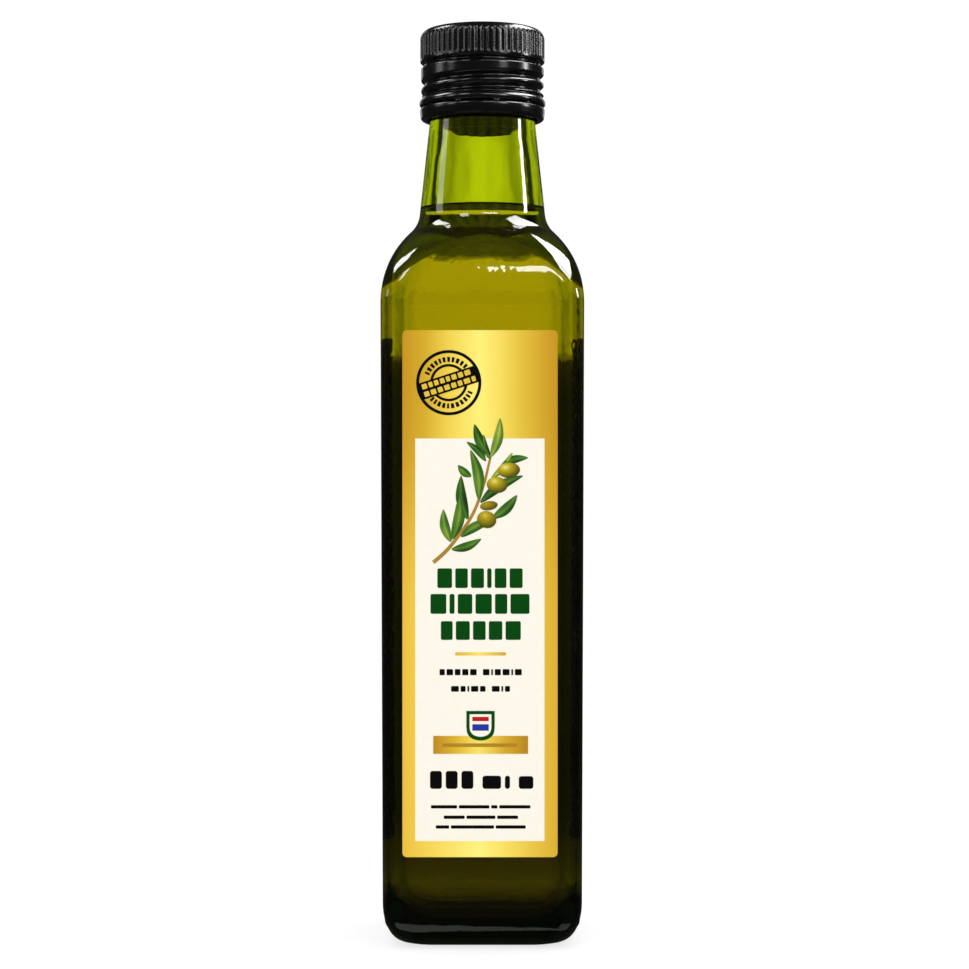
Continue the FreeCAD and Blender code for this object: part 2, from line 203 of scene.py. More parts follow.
def buildPaperTone():
    # two close colours in paper clouds, and the height of the paper's tooth
    group, given, result = newGroup(
        "paperTone",
        [("Light", "NodeSocketColor", (0.9, 0.88, 0.8, 1)),
         ("Dark", "NodeSocketColor", (0.85, 0.82, 0.72, 1)),
         ("Scale", "NodeSocketFloat", 300.0)],
        [("Color", "NodeSocketColor"), ("Height", "NodeSocketFloat")])
    nodes, links = group.nodes, group.links
    place = addNode(nodes, "TexCoord")
    cloud = addNode(nodes, "TexNoise", {"Detail": 5.0})
    tooth = addNode(nodes, "TexNoise", {"Detail": 3.0})
    finer = addNode(nodes, "Math", {1: 12.0}, operation="MULTIPLY")
    blend = addNode(nodes, "Mix", data_type="RGBA")
    links.new(place.outputs["Object"], cloud.inputs["Vector"])
    links.new(place.outputs["Object"], tooth.inputs["Vector"])
    links.new(given.outputs["Scale"], cloud.inputs["Scale"])
    links.new(given.outputs["Scale"], finer.inputs[0])
    links.new(finer.outputs["Value"], tooth.inputs["Scale"])
    links.new(cloud.outputs["Fac"], blend.inputs["Factor"])
    links.new(given.outputs["Light"], blend.inputs["A"])
    links.new(given.outputs["Dark"], blend.inputs["B"])
    links.new(blend.outputs["Result"], result.inputs["Color"])
    links.new(tooth.outputs["Fac"], result.inputs["Height"])
    return group


mottle = buildMottle()
paperTone = buildPaperTone()


def paint(red, green, blue):
    # a colour as mixed on screen, 0 to 255, turned into the shader's linear values
    shares = [value / 255 for value in (red, green, blue)]
    return tuple(c / 12.92 if c <= 0.04045 else ((c + 0.055) / 1.055) ** 2.4 for c in shares)


def paintStops(stops):
    return [(position, paint(*colour)) for position, colour in stops]


def newFinish(name, values=()):
    # a material and the plain values of its main shader
    material = bpy.data.materials.new(name)
    material.use_nodes = True
    nodes = material.node_tree.nodes
    shader = nodes["Principled BSDF"]
    for socket, value in dict(values).items():
        shader.inputs[socket].default_value = value
    return material, nodes, material.node_tree.links, shader


def placeEffect(nodes, group, **values):
    return addNode(nodes, "Group", values, node_tree=group)


def addBump(nodes, links, shader, height, strength, distance):
    bump = addNode(nodes, "Bump", {"Strength": strength, "Distance": distance})
    links.new(height, bump.inputs["Height"])
    links.new(bump.outputs["Normal"], shader.inputs["Normal"])


def clearFinish(name, ior, absorbed, density, rippleScale=None, rippleDepth=None):
    # a clear coloured body: smooth shader outside, colour from its thickness
    material, nodes, links, shader = newFinish(name, {
        "Base Color": (1, 1, 1, 1), "Roughness": 0.0, "IOR": ior, "Transmission Weight": 1.0})
    tint = addNode(nodes, "VolumeAbsorption", {"Color": (*absorbed, 1), "Density": density})
    links.new(tint.outputs["Volume"], nodes["Material Output"].inputs["Volume"])
    if rippleDepth:
        ripple = placeEffect(nodes, mottle, Scale=rippleScale, Low=0.0, High=1.0)
        addBump(nodes, links, shader, ripple.outputs["Value"], 1.0, rippleDepth)
    return material


greenGlass = {
    "ior": 1.52,
    "absorbed": (0.90, 0.928, 0.05),
    "density": 1000.0,
    "rippleScale": 55.0,
    "rippleDepth": 0.00006,
}
oliveOil = {
    "ior": 1.47,
    "absorbed": (0.978, 0.945, 0.05),
    "density": 330.0,
}
glassFinish = clearFinish("greenBottleGlass", **greenGlass)
oilFinish = clearFinish("oliveOil", **oliveOil)


def blackFinish(name, colour, low, high, scale, specular, bumpDepth):
    material, nodes, links, shader = newFinish(name, {"Specular IOR Level": specular})
    gloss = placeEffect(nodes, mottle, Scale=scale, Low=low, High=high)
    links.new(gloss.outputs["Value"], shader.inputs["Roughness"])
    light = (*[c * 1.25 for c in colour], 1)
    dark = (*[c * 0.8 for c in colour], 1)
    tone = placeEffect(nodes, paperTone, Light=light, Dark=dark, Scale=scale)
    links.new(tone.outputs["Color"], shader.inputs["Base Color"])
    addBump(nodes, links, shader, tone.outputs["Height"], 0.5, bumpDepth)
    return material


lacquerFinish = blackFinish("blackLacquer", (0.002, 0.002, 0.0021), 0.17, 0.22, 180, 0.5, 0.000001)
plugFinish = blackFinish("blackPlugPlastic", (0.002, 0.002, 0.002), 0.4, 0.5, 260, 0.04, 0.00001)


# the glass bottle, its cavity and the oil

bottleShape = {
    "wall": 3.45,
    "cornerRadius": 5.0,
    "innerCorner": 4.5,
    "heelHeight": 10.0,
    "heelInset": 5.4,
    "heelCornerGain": 2.5,
    "innerHeelHeight": 8.0,
    "innerHeelInset": 6.0,
    "floorHeight": oilLow.z,
    "baseHalf": 23.2,
    "topHalf": glassHigh.x,
    "shoulderStart": 149.5,
    "shoulderRadius": 27.9,
    "neckFillet": 7.0,
    "neckSlope": math.radians(6.2),
    "neckTopRadius": 12.5,
    "collarHeight": capLow.z + 0.8,
    "mouthRadius": 13.0,
    "boreRadius": 9.5,
    "lipHeight": glassHigh.z,
    "puntRadius": 13.5,
    "puntDepth": 2.0,
    "seamHeight": 5.05,
    "seamRise": 0.14,
    "waveDepth": 0.05,
    "waves": ((4, 0.6, 1.0), (7, 2.1, 0.8), (11, 0.3, 0.5), (17, 1.4, 0.3)),  # count, lag, share
    "sideSteps": 12,
    "cornerSteps": 18,
    "heelSteps": 12,
    "bodySteps": 20,
    "domeSteps": 20,
    "filletSteps": 12,
    "neckSteps": 20,
}
shape = bottleShape
domeCentre = shape["topHalf"] - shape["shoulderRadius"]
arcsApart = shape["shoulderRadius"] + shape["neckFillet"]
neckReach = (
    (shape["neckTopRadius"] - domeCentre) * math.cos(shape["neckSlope"])
    + (shape["collarHeight"] - shape["shoulderStart"]) * math.sin(shape["neckSlope"]))
domeTurn = shape["neckSlope"] + math.acos((shape["neckFillet"] + neckReach) / arcsApart)
footRadius = domeCentre + arcsApart * math.cos(domeTurn)
footHeight = shape["shoulderStart"] + arcsApart * math.sin(domeTurn)
sideSlope = (shape["topHalf"] - shape["baseHalf"]) / (shape["shoulderStart"] - shape["heelHeight"])


def halfAt(height):
    # half width of the tapered sides, outside
    return shape["baseHalf"] + sideSlope * (height - shape["heelHeight"])


def squareReach(angle, half, corner):
    # from the axis out to a rounded square, in one direction
    fromAxis = abs((angle + math.pi / 4) % (math.pi / 2) - math.pi / 4)
    flat = half - corner
    if half * math.tan(fromAxis) <= flat:
        return half / math.cos(fromAxis)
    along = flat * (math.cos(fromAxis) + math.sin(fromAxis))
    return along + math.sqrt(max(along * along - 2 * flat * flat + corner * corner, 0))


def neckWave(angle):
    # upright streaks that the drawn glass has inside the neck
    waves = (share * math.sin(count * angle + lag) for count, lag, share in shape["waves"])
    return shape["waveDepth"] * sum(waves)


def squareRing(height, half, corner, evenness, wave=0):
    # points follow flats and corners on the body, and are evenly spread on the neck
    ring = []
    perSide = shape["sideSteps"] + shape["cornerSteps"]
    evenStep = math.pi / 2 / perSide
    flat = half - corner
    for side in range(4):
        turn = side * math.pi / 2
        for step in range(perSide):
            if step < shape["sideSteps"]:
                x, y = half, flat * (2 * step / shape["sideSteps"] - 1)
            else:
                sweep = math.pi / 2 * (step - shape["sideSteps"]) / shape["cornerSteps"]
                x = flat + corner * math.cos(sweep)
                y = flat + corner * math.sin(sweep)
            even = (step - shape["sideSteps"] / 2) * evenStep
            angle = turn + mix(math.atan2(y, x), even, evenness)
            reach = squareReach(angle, half, corner) + wave * neckWave(angle)
            ring.append((reach * math.cos(angle), reach * math.sin(angle), height))
    return ring


def wallRings(inset, foot, heelRise, heelDraw, corner, footGain, topRadius, topHeight):
    # heel, sides, dome, neck foot and neck, outside (inset 0) or inset into the glass
    rings = []
    heelTop = foot + heelRise
    heelHalf = halfAt(heelTop) - inset
    for step in range(shape["heelSteps"] + 1):
        turn = math.pi / 2 * step / shape["heelSteps"]
        height = foot + heelRise * (1 - math.cos(turn))
        half = heelHalf - heelDraw * (1 - math.sin(turn))
        bend = corner + footGain * (1 - math.sin(turn))
        rings.append((height, half, bend, 0))
    for step in range(1, shape["bodySteps"]):
        height = mix(heelTop, shape["shoulderStart"], step / shape["bodySteps"])
        rings.append((height, halfAt(height) - inset, corner, 0))
    domeRadius = shape["shoulderRadius"] - inset
    flatAtStart = shape["topHalf"] - inset - corner
    for step in range(shape["domeSteps"] + 1):
        share = step / shape["domeSteps"]
        turn = domeTurn * share
        rise = math.sin(turn) / math.sin(domeTurn)
        half = domeCentre + domeRadius * math.cos(turn)
        bend = half - flatAtStart * (1 - rise * rise)
        height = shape["shoulderStart"] + domeRadius * math.sin(turn)
        rings.append((height, half, bend, softStep(0.35, 1, share)))
    fillet = shape["neckFillet"] + inset
    for step in range(1, shape["filletSteps"] + 1):
        turn = mix(domeTurn, shape["neckSlope"], step / shape["filletSteps"])
        radius = footRadius - fillet * math.cos(turn)
        rings.append((footHeight - fillet * math.sin(turn), radius, radius, 1))
    coneFoot, _, coneRadius, _ = rings[-1]
    if topRadius:
        topHeight = coneFoot + (coneRadius - topRadius) / math.tan(shape["neckSlope"])
    for step in range(1, shape["neckSteps"] + 1):
        height = mix(coneFoot, topHeight, step / shape["neckSteps"])
        radius = coneRadius - (height - coneFoot) * math.tan(shape["neckSlope"])
        rings.append((height, radius, radius, 1))
    return rings


def outerRings():
    rings = wallRings(
        0, 0, shape["heelHeight"], shape["heelInset"], shape["cornerRadius"],
        shape["heelCornerGain"], None, shape["collarHeight"])
    # the mould's parting line is a fine ridge round the heel
    seamed = []
    for height, half, bend, even in rings:
        nearSeam = math.exp(-((height - shape["seamHeight"]) / 0.35) ** 2)
        seamed.append((height, half + shape["seamRise"] * nearSeam, bend, even))
    return seamed


def cavityRings(grow):
    return wallRings(
        shape["wall"] - grow, shape["floorHeight"] - grow, shape["innerHeelHeight"],
        shape["innerHeelInset"], shape["innerCorner"], 0, shape["boreRadius"] + grow, None)


def floorRings(height, half, bend, shares):
    # a flat floor, rounder towards its middle
    return [(height, half * s, mix(half * s, bend * s, softStep(0.3, 1, s)), 0) for s in shares]


def baseRings():
    # from the middle of the hollow under the base out to the standing ring
    rings = []
    for share in (0.12, 0.3, 0.45, 0.6, 0.72, 0.83, 0.92, 0.97, 1.0):
        height = shape["puntDepth"] * (1 - softStep(0.35, 1.0, share))
        rings.append((height, shape["puntRadius"] * share, shape["puntRadius"] * share, 1))
    foot = shape["baseHalf"] - shape["heelInset"] - 0.05
    bend = shape["cornerRadius"] + shape["heelCornerGain"]
    for share in (0.25, 0.5, 0.75):
        half = mix(shape["puntRadius"], foot, share)
        rings.append((0, half, mix(half, bend, softStep(0, 1, share)), 1 - share))
    return rings


def makeBottle():
    outer = baseRings() + outerRings()
    lip = shape["lipHeight"]
    mouth = shape["mouthRadius"]
    collar = shape["collarHeight"]
    outer += [(collar + 0.05, mouth - 0.25, mouth - 0.25, 1), (collar + 0.3, mouth, mouth, 1)]
    for share in (0.25, 0.5, 0.75, 0.97):
        outer.append((mix(collar, lip, share), mouth, mouth, 1))
    outer.append((lip, mouth - 0.5, mouth - 0.5, 1))
    inner = cavityRings(0)
    bore = shape["boreRadius"]
    boreFoot = inner[-1][0]
    for share in (0.2, 0.4, 0.6, 0.8, 0.98):
        inner.append((mix(boreFoot, lip, share), bore, bore, 1))
    inner.append((lip, bore + 0.5, bore + 0.5, 1))
    sections = outer
    waveFoot = oilHigh.z + 0.5
    waveHead = plugLow.z - 3
    for height, half, bend, even in inner[::-1]:
        wave = softStep(waveFoot, waveFoot + 3.5, height) * (1 - softStep(waveHead - 5, waveHead, height))
        sections.append((height, half, bend, even, wave))
    sections += floorRings(*inner[0][:3], (0.9, 0.75, 0.6, 0.45, 0.3, 0.15))
    bm = bmesh.new()
    skinRings(bm, [squareRing(*s) for s in sections], closeStart=True, closeEnd=True)
    return addPiece("bottle_glass", bm, glassFinish, ["glass_bottle"])


oilShape = {
    "crest": oilHigh.z - 0.5,
    "intoWall": 0.06,
    "meniscusRise": 2.0,
    "meniscusReach": 1.7,
}


def makeOil():
    crest = oilShape["crest"]
    level = crest - oilShape["meniscusRise"]
    walls = [s for s in cavityRings(oilShape["intoWall"]) if s[0] < level]
    coneHeight, coneRadius = walls[-1][:2]
    for height in (mix(coneHeight, crest, 0.35), mix(coneHeight, crest, 0.7), crest):
        radius = coneRadius - (height - coneHeight) * math.tan(shape["neckSlope"])
        walls.append((height, radius, radius, 1))
    edge = walls[-1][1]
    for inward in (0.1, 0.2, 0.35, 0.55, 0.8, 1.15, 1.6, 2.2, 3.2, 4.8, 7, 9.2):
        rise = oilShape["meniscusRise"] * math.exp(-inward / oilShape["meniscusReach"])
        walls.append((level + rise, edge - inward, edge - inward, 1))
    floor = floorRings(*walls[0][:3], (0.15, 0.3, 0.45, 0.6, 0.75, 0.9))
    bm = bmesh.new()
    skinRings(bm, [squareRing(*s) for s in floor + walls], closeStart=True, closeEnd=True)
    return addPiece("oil_fill", bm, oilFinish, ["oil"])


makeBottle()
makeOil()
print("stage 2: glass and oil made")


# the pourer's plug, seen through the neck

plugShape = {
    "footHeight": plugLow.z,
    "topHeight": plugHigh.z,
    "lipHeight": glassHigh.z,
    "radius": 9.45,
    "rimRadius": 12.85,
    "wall": 1.2,
    "ribHeights": (193.6, 196.2, 199.0),
    "ribHollow": 0.35,
    "steps": 96,
}


def makePlug():
    radius = plugShape["radius"]
    hollow = radius - plugShape["ribHollow"]
    bore = radius - plugShape["wall"]
    foot = plugShape["footHeight"]
    top = plugShape["topHeight"]
    lip = plugShape["lipHeight"]
    rim = plugShape["rimRadius"]
    outline = [
        (bore + 0.1, foot + 0.2), (bore + 0.3, foot), (radius - 0.5, foot), (radius - 0.15, foot + 0.3)]
    for height in plugShape["ribHeights"]:
        outline += [
            (radius, height - 0.75), (radius, height - 0.4), (hollow, height - 0.1),
            (hollow, height + 0.5), (radius, height + 0.8)]
    outline += [
        (radius, lip), (rim - 0.15, lip), (rim, lip + 0.15), (rim, top - 0.15), (rim - 0.15, top),
        (bore + 0.1, top), (bore, top - 0.1), (bore, foot + 0.5)]
    rings = [roundRing(here, height, plugShape["steps"]) for here, height in outline]
    bm = bmesh.new()
    skinRings(bm, rings, joinEnds=True)
    return addPiece("pourer_plug", bm, plugFinish, ["pourer"], sharpAngle=50)


makePlug()
print("stage 3: pourer made")


# the rolled-on cap

capShape = {
    "top": capHigh.z - 0.01,
    "bottom": capLow.z,
    "radius": 14.9,
    "edgeRound": 2.3,
    "innerRadius": 13.15,
    "topWall": 0.6,
    "knurlCount": 60,
    "knurlDepth": 0.27,
    "knurlHalfWidth": 0.5,
    "knurlFoot": 209.25,
    "knurlHead": 214.2,
    "knurlWallTop": 213.7,
    "threadPitch": 2.7,
    "threadDepth": 0.95,
    "threadStart": 200.1,
    "threadTurns": 1.62,
    "threadRunIn": (-0.16, 0.03),
    "threadRunOut": (-0.1, 0.2),
    "threadRadius": 14.72,
    "slitTop": 197.7,
    "slitBottom": 197.2,
    "bridgeCount": 10,
    "bridgeHalfTurn": math.radians(2.6),
    "bridgeInner": 13.6,
    "bridgeOuter": 14.6,
    "bridgeSwell": 0.12,
    "bridgeOverlap": 0.12,
    "slitEdgeRadius": 14.4,
    "ceilingRadius": 6.0,
    "firstBridge": math.radians(-59),
    "stepsPerKnurl": 8,
    "discRadii": (0.8, 4.5, 8.5, 11.4, 12.1),
    "edgeSteps": 8,
    "knurlSteps": 8,
    "knurlEndSteps": 6,
    "neckIn": [
        (14.9, 208.42), (14.86, 208.3), (14.55, 208.05), (14.0, 207.8), (13.86, 207.55),
        (14.0, 207.25), (14.45, 206.95), (14.68, 206.7), (14.72, 206.4)],
    "threadHead": 206.4,
    "threadFoot": 200.3,
    "threadRows": 50,
    "bead": [
        (14.5, 200.18), (14.28, 199.98), (14.25, 199.75), (14.5, 199.5), (14.85, 199.15),
        (15.06, 198.75), (15.11, 198.4), (15.06, 198.05), (14.92, 197.82)],
    "lineSteps": 3,
}


def knurlCut(turn, height):
    # notches with rounded ends, one between each two ribs
    cap = capShape
    pitch = 2 * math.pi / cap["knurlCount"]
    across = ((turn + pitch / 2) % pitch - pitch / 2) * cap["radius"]
    beyond = max(cap["knurlFoot"] - height, height - cap["knurlHead"], 0)
    away = math.hypot(across, beyond)
    return cap["knurlDepth"] * (1 - softStep(0, cap["knurlHalfWidth"], away))


def threadCut(turn, height):
    # a right-handed round groove that starts and ends on the left of the front
    cap = capShape
    left = math.pi
    cut = 0
    runOut = [cap["threadTurns"] + share for share in cap["threadRunOut"]]
    for lap in range(4):
        swept = (turn - left) % (2 * math.pi) / (2 * math.pi) + lap - 1
        centre = cap["threadStart"] + cap["threadPitch"] * swept
        fade = softStep(*cap["threadRunIn"], swept) * (1 - softStep(*runOut, swept))
        off = (height - centre) / (cap["threadPitch"] * 0.5)
        if abs(off) < 1:
            cut = max(cut, fade * cap["threadDepth"] * (0.5 + 0.5 * math.cos(math.pi * off)) ** 1.4)
    return cut


def capRing(radius, height, cutter=None):
    return roundRing(radius, height, capShape["knurlCount"] * capShape["stepsPerKnurl"], cutter)


def capLine(points):
    return [capRing(radius, height) for radius, height in flowThrough(points, capShape["lineSteps"])]


def capRows(radius, top, bottom, steps, cutter):
    # rings down an upright wall, without the first one
    return [capRing(radius, mix(top, bottom, step / steps), cutter) for step in range(1, steps + 1)]


def makeCap():
    cap = capShape
    inner = cap["innerRadius"]
    edge = cap["edgeRound"]
    under = cap["top"] - cap["topWall"]
    rings = [capRing(radius, cap["top"]) for radius in cap["discRadii"]]
    for step in range(1, cap["edgeSteps"] + 1):
        turn = math.pi / 2 * step / cap["edgeSteps"]
        radius = cap["radius"] - edge + edge * math.sin(turn)
        rings.append(capRing(radius, cap["top"] - edge + edge * math.cos(turn), knurlCut))
    knurlEnd = cap["knurlFoot"] + 0.3
    knurlFoot = cap["knurlFoot"] - cap["knurlHalfWidth"] - 0.35
    rings += capRows(cap["radius"], cap["knurlWallTop"], knurlEnd, cap["knurlSteps"], knurlCut)
    rings += capRows(cap["radius"], knurlEnd, knurlFoot, cap["knurlEndSteps"], knurlCut)
    rings += capLine(cap["neckIn"])
    rings += capRows(cap["threadRadius"], cap["threadHead"], cap["threadFoot"], cap["threadRows"], threadCut)
    rings += capLine([*cap["bead"], (14.75, cap["slitTop"])])
    rings.append(capRing(cap["slitEdgeRadius"], cap["slitTop"]))
    rings.append(capRing(inner, cap["slitTop"]))
    rings += [capRing(inner, mix(cap["slitTop"], under, share)) for share in (0.33, 0.66, 1)]
    rings.append(capRing(cap["ceilingRadius"], under))
    bm = bmesh.new()
    skinRings(bm, rings, closeStart=True, closeEnd=True)
    # the tamper band below the slit
    band = capLine([
        (inner, cap["slitBottom"]), (14.55, cap["slitBottom"]), (14.8, 197.12), (14.94, 196.8),
        (14.94, 196.2), (14.86, 195.5), (14.8, 195.0), (14.62, 194.6), (14.25, 194.32),
        (13.8, cap["bottom"]), (13.45, 194.3), (13.2, 194.6), (inner, 195.2)])
    skinRings(bm, band, joinEnds=True)
    # bridges that hold the band until the cap is first turned
    low = cap["slitBottom"] - cap["bridgeOverlap"]
    high = cap["slitTop"] + cap["bridgeOverlap"]
    near, far = cap["bridgeInner"], cap["bridgeOuter"]
    for number in range(cap["bridgeCount"]):
        middle = cap["firstBridge"] + 2 * math.pi * number / cap["bridgeCount"] - math.pi / 2
        ends = []
        for side in (-1, -0.6, 0, 0.6, 1):
            turn = middle + side * cap["bridgeHalfTurn"]
            swell = far + 0.08 + cap["bridgeSwell"] * (1 - side * side)
            profile = ((near, low), (far, low), (swell, mix(low, high, 0.5)), (far, high), (near, high))
            ends.append([(r * math.cos(turn), r * math.sin(turn), z) for r, z in profile])
        rows = skinRings(bm, ends)
        bm.faces.new(rows[0])
        bm.faces.new(rows[-1])
    return addPiece(
        "screw_cap_shell", bm, lacquerFinish, ["screw_cap"], sharpAngle=75)


makeCap()
print("stage 4: cap made")


# labels: thin layers on the faces, which lean outwards as they rise

labelShape = {
    "left": labelLow.x,
    "right": labelHigh.x,
    "bottom": labelLow.z,
    "top": labelHigh.z,
    "corner": 1.0,
    "faceLift": 0.0,
    "foilLift": 0.06,
    "panelLift": 0.09,
    "inkLift": 0.12,
    "reliefLift": 0.145,
    "topLift": 0.19,
}


def onFace(x, height, lift, side=-1):
    return (x * -side, side * (halfAt(height) + lift), height)


def faceVert(bm, x, height, lift, side=-1):
    return bm.verts.new(Vector(onFace(x, height, lift, side)) * mm)


def addPlate(bm, outline, low, high, side=-1):
    # a flat shape with straight edges, from one lift to another
    front = [faceVert(bm, x, z, high, side) for x, z in outline]
    back = [faceVert(bm, x, z, low, side) for x, z in outline]
    bm.faces.new(front)
    bm.faces.new(back[::-1])
    for i in range(len(outline)):
        j = (i + 1) % len(outline)
        bm.faces.new((front[i], back[i], back[j], front[j]))


def roundedBar(left, right, bottom, top, corner, steps=5):
    outline = []
    for x, z, first in (
            (right - corner, top - corner, 0), (left + corner, top - corner, 90),
            (left + corner, bottom + corner, 180), (right - corner, bottom + corner, 270)):
        for step in range(steps + 1):
            turn = math.radians(first + 90 * step / steps)
            outline.append((x + corner * math.cos(turn), z + corner * math.sin(turn)))
    return outline


def addHoop(bm, x, z, outer, width, low, high, steps=96, first=0, sweep=2 * math.pi):
    # a flat ring or part of one
    full = sweep > 6.28
    rows = []
    for step in range(steps if full else steps + 1):
        turn = first + sweep * step / steps
        c, s = math.cos(turn), math.sin(turn)
        rows.append([
            onFace(x + r * c, z + r * s, lift)
            for r, lift in ((outer, low), (outer, high), (outer - width, high), (outer - width, low))])
    made = skinRings(bm, rows, joinEnds=full)
    if not full:
        bm.faces.new(made[0])
        bm.faces.new(made[-1])


def paintedReflectionGold(name, left, right, ramps):
    # foil with a painted reflection of a front lamp: its tone runs across from a dark edge over a bright
    # middle, paler lower down
    material, nodes, links, shader = newFinish(name, {"Specular IOR Level": 0.1})
    place = addNode(nodes, "TexCoord")
    split = addNode(nodes, "SeparateXYZ")
    across = addNode(nodes, "MapRange", {"From Min": left * mm, "From Max": right * mm})
    down = addNode(
        nodes, "MapRange", {"From Min": goldReflectionFade["high"] * mm, "From Max": goldReflectionFade["low"] * mm},
        interpolation_type="SMOOTHSTEP")
    links.new(place.outputs["Object"], split.inputs["Vector"])
    links.new(split.outputs["X"], across.inputs["Value"])
    links.new(split.outputs["Z"], down.inputs["Value"])
    blend = addNode(nodes, "Mix", data_type="RGBA")
    links.new(down.outputs["Result"], blend.inputs["Factor"])
    for socketName, stops in (("A", ramps[0]), ("B", ramps[-1])):
        ramp = addRamp(nodes, paintStops(stops))
        links.new(across.outputs["Result"], ramp.inputs["Fac"])
        links.new(ramp.outputs["Color"], blend.inputs[socketName])
    links.new(blend.outputs["Result"], shader.inputs["Base Color"])
    grain = placeEffect(nodes, mottle, Scale=900, Low=0.4, High=0.5)
    links.new(grain.outputs["Value"], shader.inputs["Roughness"])
    addBump(nodes, links, shader, grain.outputs["Value"], 0.15, 0.00002)
    return material


def inkFinish(name, light, dark, roughness=0.5, scale=500):
    material, nodes, links, shader = newFinish(name, {"Roughness": roughness, "Specular IOR Level": 0.06})
    tone = placeEffect(nodes, paperTone, Light=(*paint(*light), 1), Dark=(*paint(*dark), 1), Scale=scale)
    links.new(tone.outputs["Color"], shader.inputs["Base Color"])
    addBump(nodes, links, shader, tone.outputs["Height"], 0.2, 0.00002)
    return material


# the foil's painted reflection at the top and lower down, and the height over which it changes
goldReflectionFade = {"high": 128.0, "low": 72.0}
goldReflectionTop = [
    (0.0, (198, 146, 25)), (0.15, (214, 172, 40)), (0.3, (241, 209, 76)), (0.5, (254, 239, 120)),
    (0.63, (246, 219, 92)), (0.76, (229, 193, 60)), (0.9, (210, 165, 39)), (1.0, (199, 147, 26))]
goldReflectionLow = [
    (0.0, (233, 190, 62)), (0.15, (244, 209, 80)), (0.3, (249, 224, 100)), (0.5, (254, 240, 127)),
    (0.63, (250, 226, 103)), (0.76, (240, 209, 81)), (0.9, (227, 188, 59)), (1.0, (219, 175, 48))]
# painted reflection on the gold bars: dark edges and a bright middle
barReflectionTone = [
    (0.0, (186, 134, 22)), (0.25, (224, 180, 46)), (0.48, (250, 226, 98)), (0.75, (214, 168, 38)),
    (1.0, (182, 130, 20))]
# gold foil and gold bars whose colour carries a painted reflection
foilReflectionFinish = paintedReflectionGold("goldFoilPaintedReflection", labelShape["left"], labelShape["right"], (goldReflectionTop, goldReflectionLow))
barReflectionGold = paintedReflectionGold("barReflectionGold", -11.4, 10.6, (barReflectionTone,))
panelFinish = inkFinish("creamPanel", (251, 246, 233), (248, 242, 227), 0.55)
greenInk = inkFinish("greenInk", (0, 78, 12), (0, 68, 8))
blackInk = inkFinish("blackInk", (14, 15, 14), (6, 6, 6))
greyInk = inkFinish("greyInk", (64, 62, 58), (52, 50, 46))
redInk = inkFinish("redInk", (200, 24, 22), (184, 16, 16))
blueInk = inkFinish("blueInk", (38, 62, 168), (28, 50, 150))
lineGold = inkFinish("lineGold", (182, 140, 42), (168, 124, 32))
sealGold = inkFinish("sealGold", (232, 198, 70), (222, 186, 58))
backPaper = inkFinish("backLabelPaper", (232, 228, 214), (226, 220, 206), 0.6, 200)


def addBar(bm, bar, corner, low, high, steps=5, side=-1):
    # a rounded bar given by its edges, between two named lifts
    outline = roundedBar(bar["left"], bar["right"], bar["bottom"], bar["top"], corner, steps)
    addPlate(bm, outline, labelShape[low], labelShape[high], side)


def makeFoil():
    bm = bmesh.new()
    addBar(bm, labelShape, labelShape["corner"], "faceLift", "foilLift")
    # the foil's colour carries a painted reflection of a front lamp
    addPrint("front_label_foil", bm, foilReflectionFinish, replaced=["front_label"])


panelShape = {
    "left": -15.46,
    "right": 14.34,
    "bottom": 24.92,
    "top": 117.81,
}


def makePanel():
    bm = bmesh.new()
    addBar(bm, panelShape, 0.08, "foilLift", "panelLift", 1)
    addPrint("front_label_panel", bm, panelFinish)


# print: words are rows of plain blocks, one block for each letter's width
printRows = {
    "title": {
        "ink": greenInk, "gap": 0.75, "corner": 0.4,
        "rows": [
            (-10.37, 9.29, 83.33, 87.85, (3.4, 2.9, 3.0, 1.0, 2.7, 3.0)),
            (-11.96, 10.88, 77.37, 81.94, (3.5, 1.1, 3.2, 3.6, 2.7, 4.2)),
            (-9.56, 8.87, 71.35, 75.67, (2.7, 3.2, 2.9, 3.1, 3.5))],
    },
    "lines": {
        "ink": blackInk, "gap": 0.42, "corner": 0.2,
        "rows": [
            (-9.86, 9.1, 63.2, 64.6, (1.2, 1.5, 1.3, 1.4, 1.5, 0, 1.5, 0.4, 1.4, 1.6, 0.4, 1.6)),
            (-7.2, 6.38, 59.4, 60.7, (1.7, 1.1, 0.4, 1.6, 1.2, 0, 1.7, 0.4, 1.1)),
            (-11.86, 11.09, 32.45, 33.2, (4.2, 4.9, 1.0, 5.0)),
            (-8.89, 8.23, 30.05, 30.8, (2.6, 3.6, 2.6)),
            (-10.73, 10.0, 27.8, 28.55, (1.6, 5.2, 3.6))],
    },
    "volume": {
        "ink": blackInk, "gap": 0.9, "corner": 0.6,
        "rows": [
            (-12.07, -2.08, 36.98, 41.1, (1, 1, 1)),
            (0.04, 6.38, 36.98, 40.0, (4.4, 1.2)),
            (8.41, 11.76, 36.98, 39.9, (1,))],
    },
}


def addBlockRow(bm, left, right, bottom, top, widths, gap, corner):
    # widths are shares; a 0 is the space between two words
    spaces = gap * (len(widths) - 1)
    unit = (right - left - spaces - gap * 1.5 * widths.count(0)) / sum(widths)
    x = left
    for width in widths:
        if width:
            addPlate(
                bm, roundedBar(x, x + width * unit, bottom, top, min(corner, width * unit / 2.1)),
                labelShape["panelLift"], labelShape["inkLift"])
            x += width * unit + gap
        else:
            x += gap * 2.5


def makePrint():
    for name, block in printRows.items():
        bm = bmesh.new()
        for left, right, bottom, top, widths in block["rows"]:
            addBlockRow(bm, left, right, bottom, top, widths, block["gap"], block["corner"])
        addPrint(f"print_{name}", bm, block["ink"])


barShape = {"left": -11.33, "right": 10.56, "bottom": 45.05, "top": 49.2}
lineShape = {"left": -9.26, "right": 8.0, "bottom": 46.65, "top": 47.47}
ruleShape = {"left": -6.24, "right": 5.44, "bottom": 67.75, "top": 68.5}


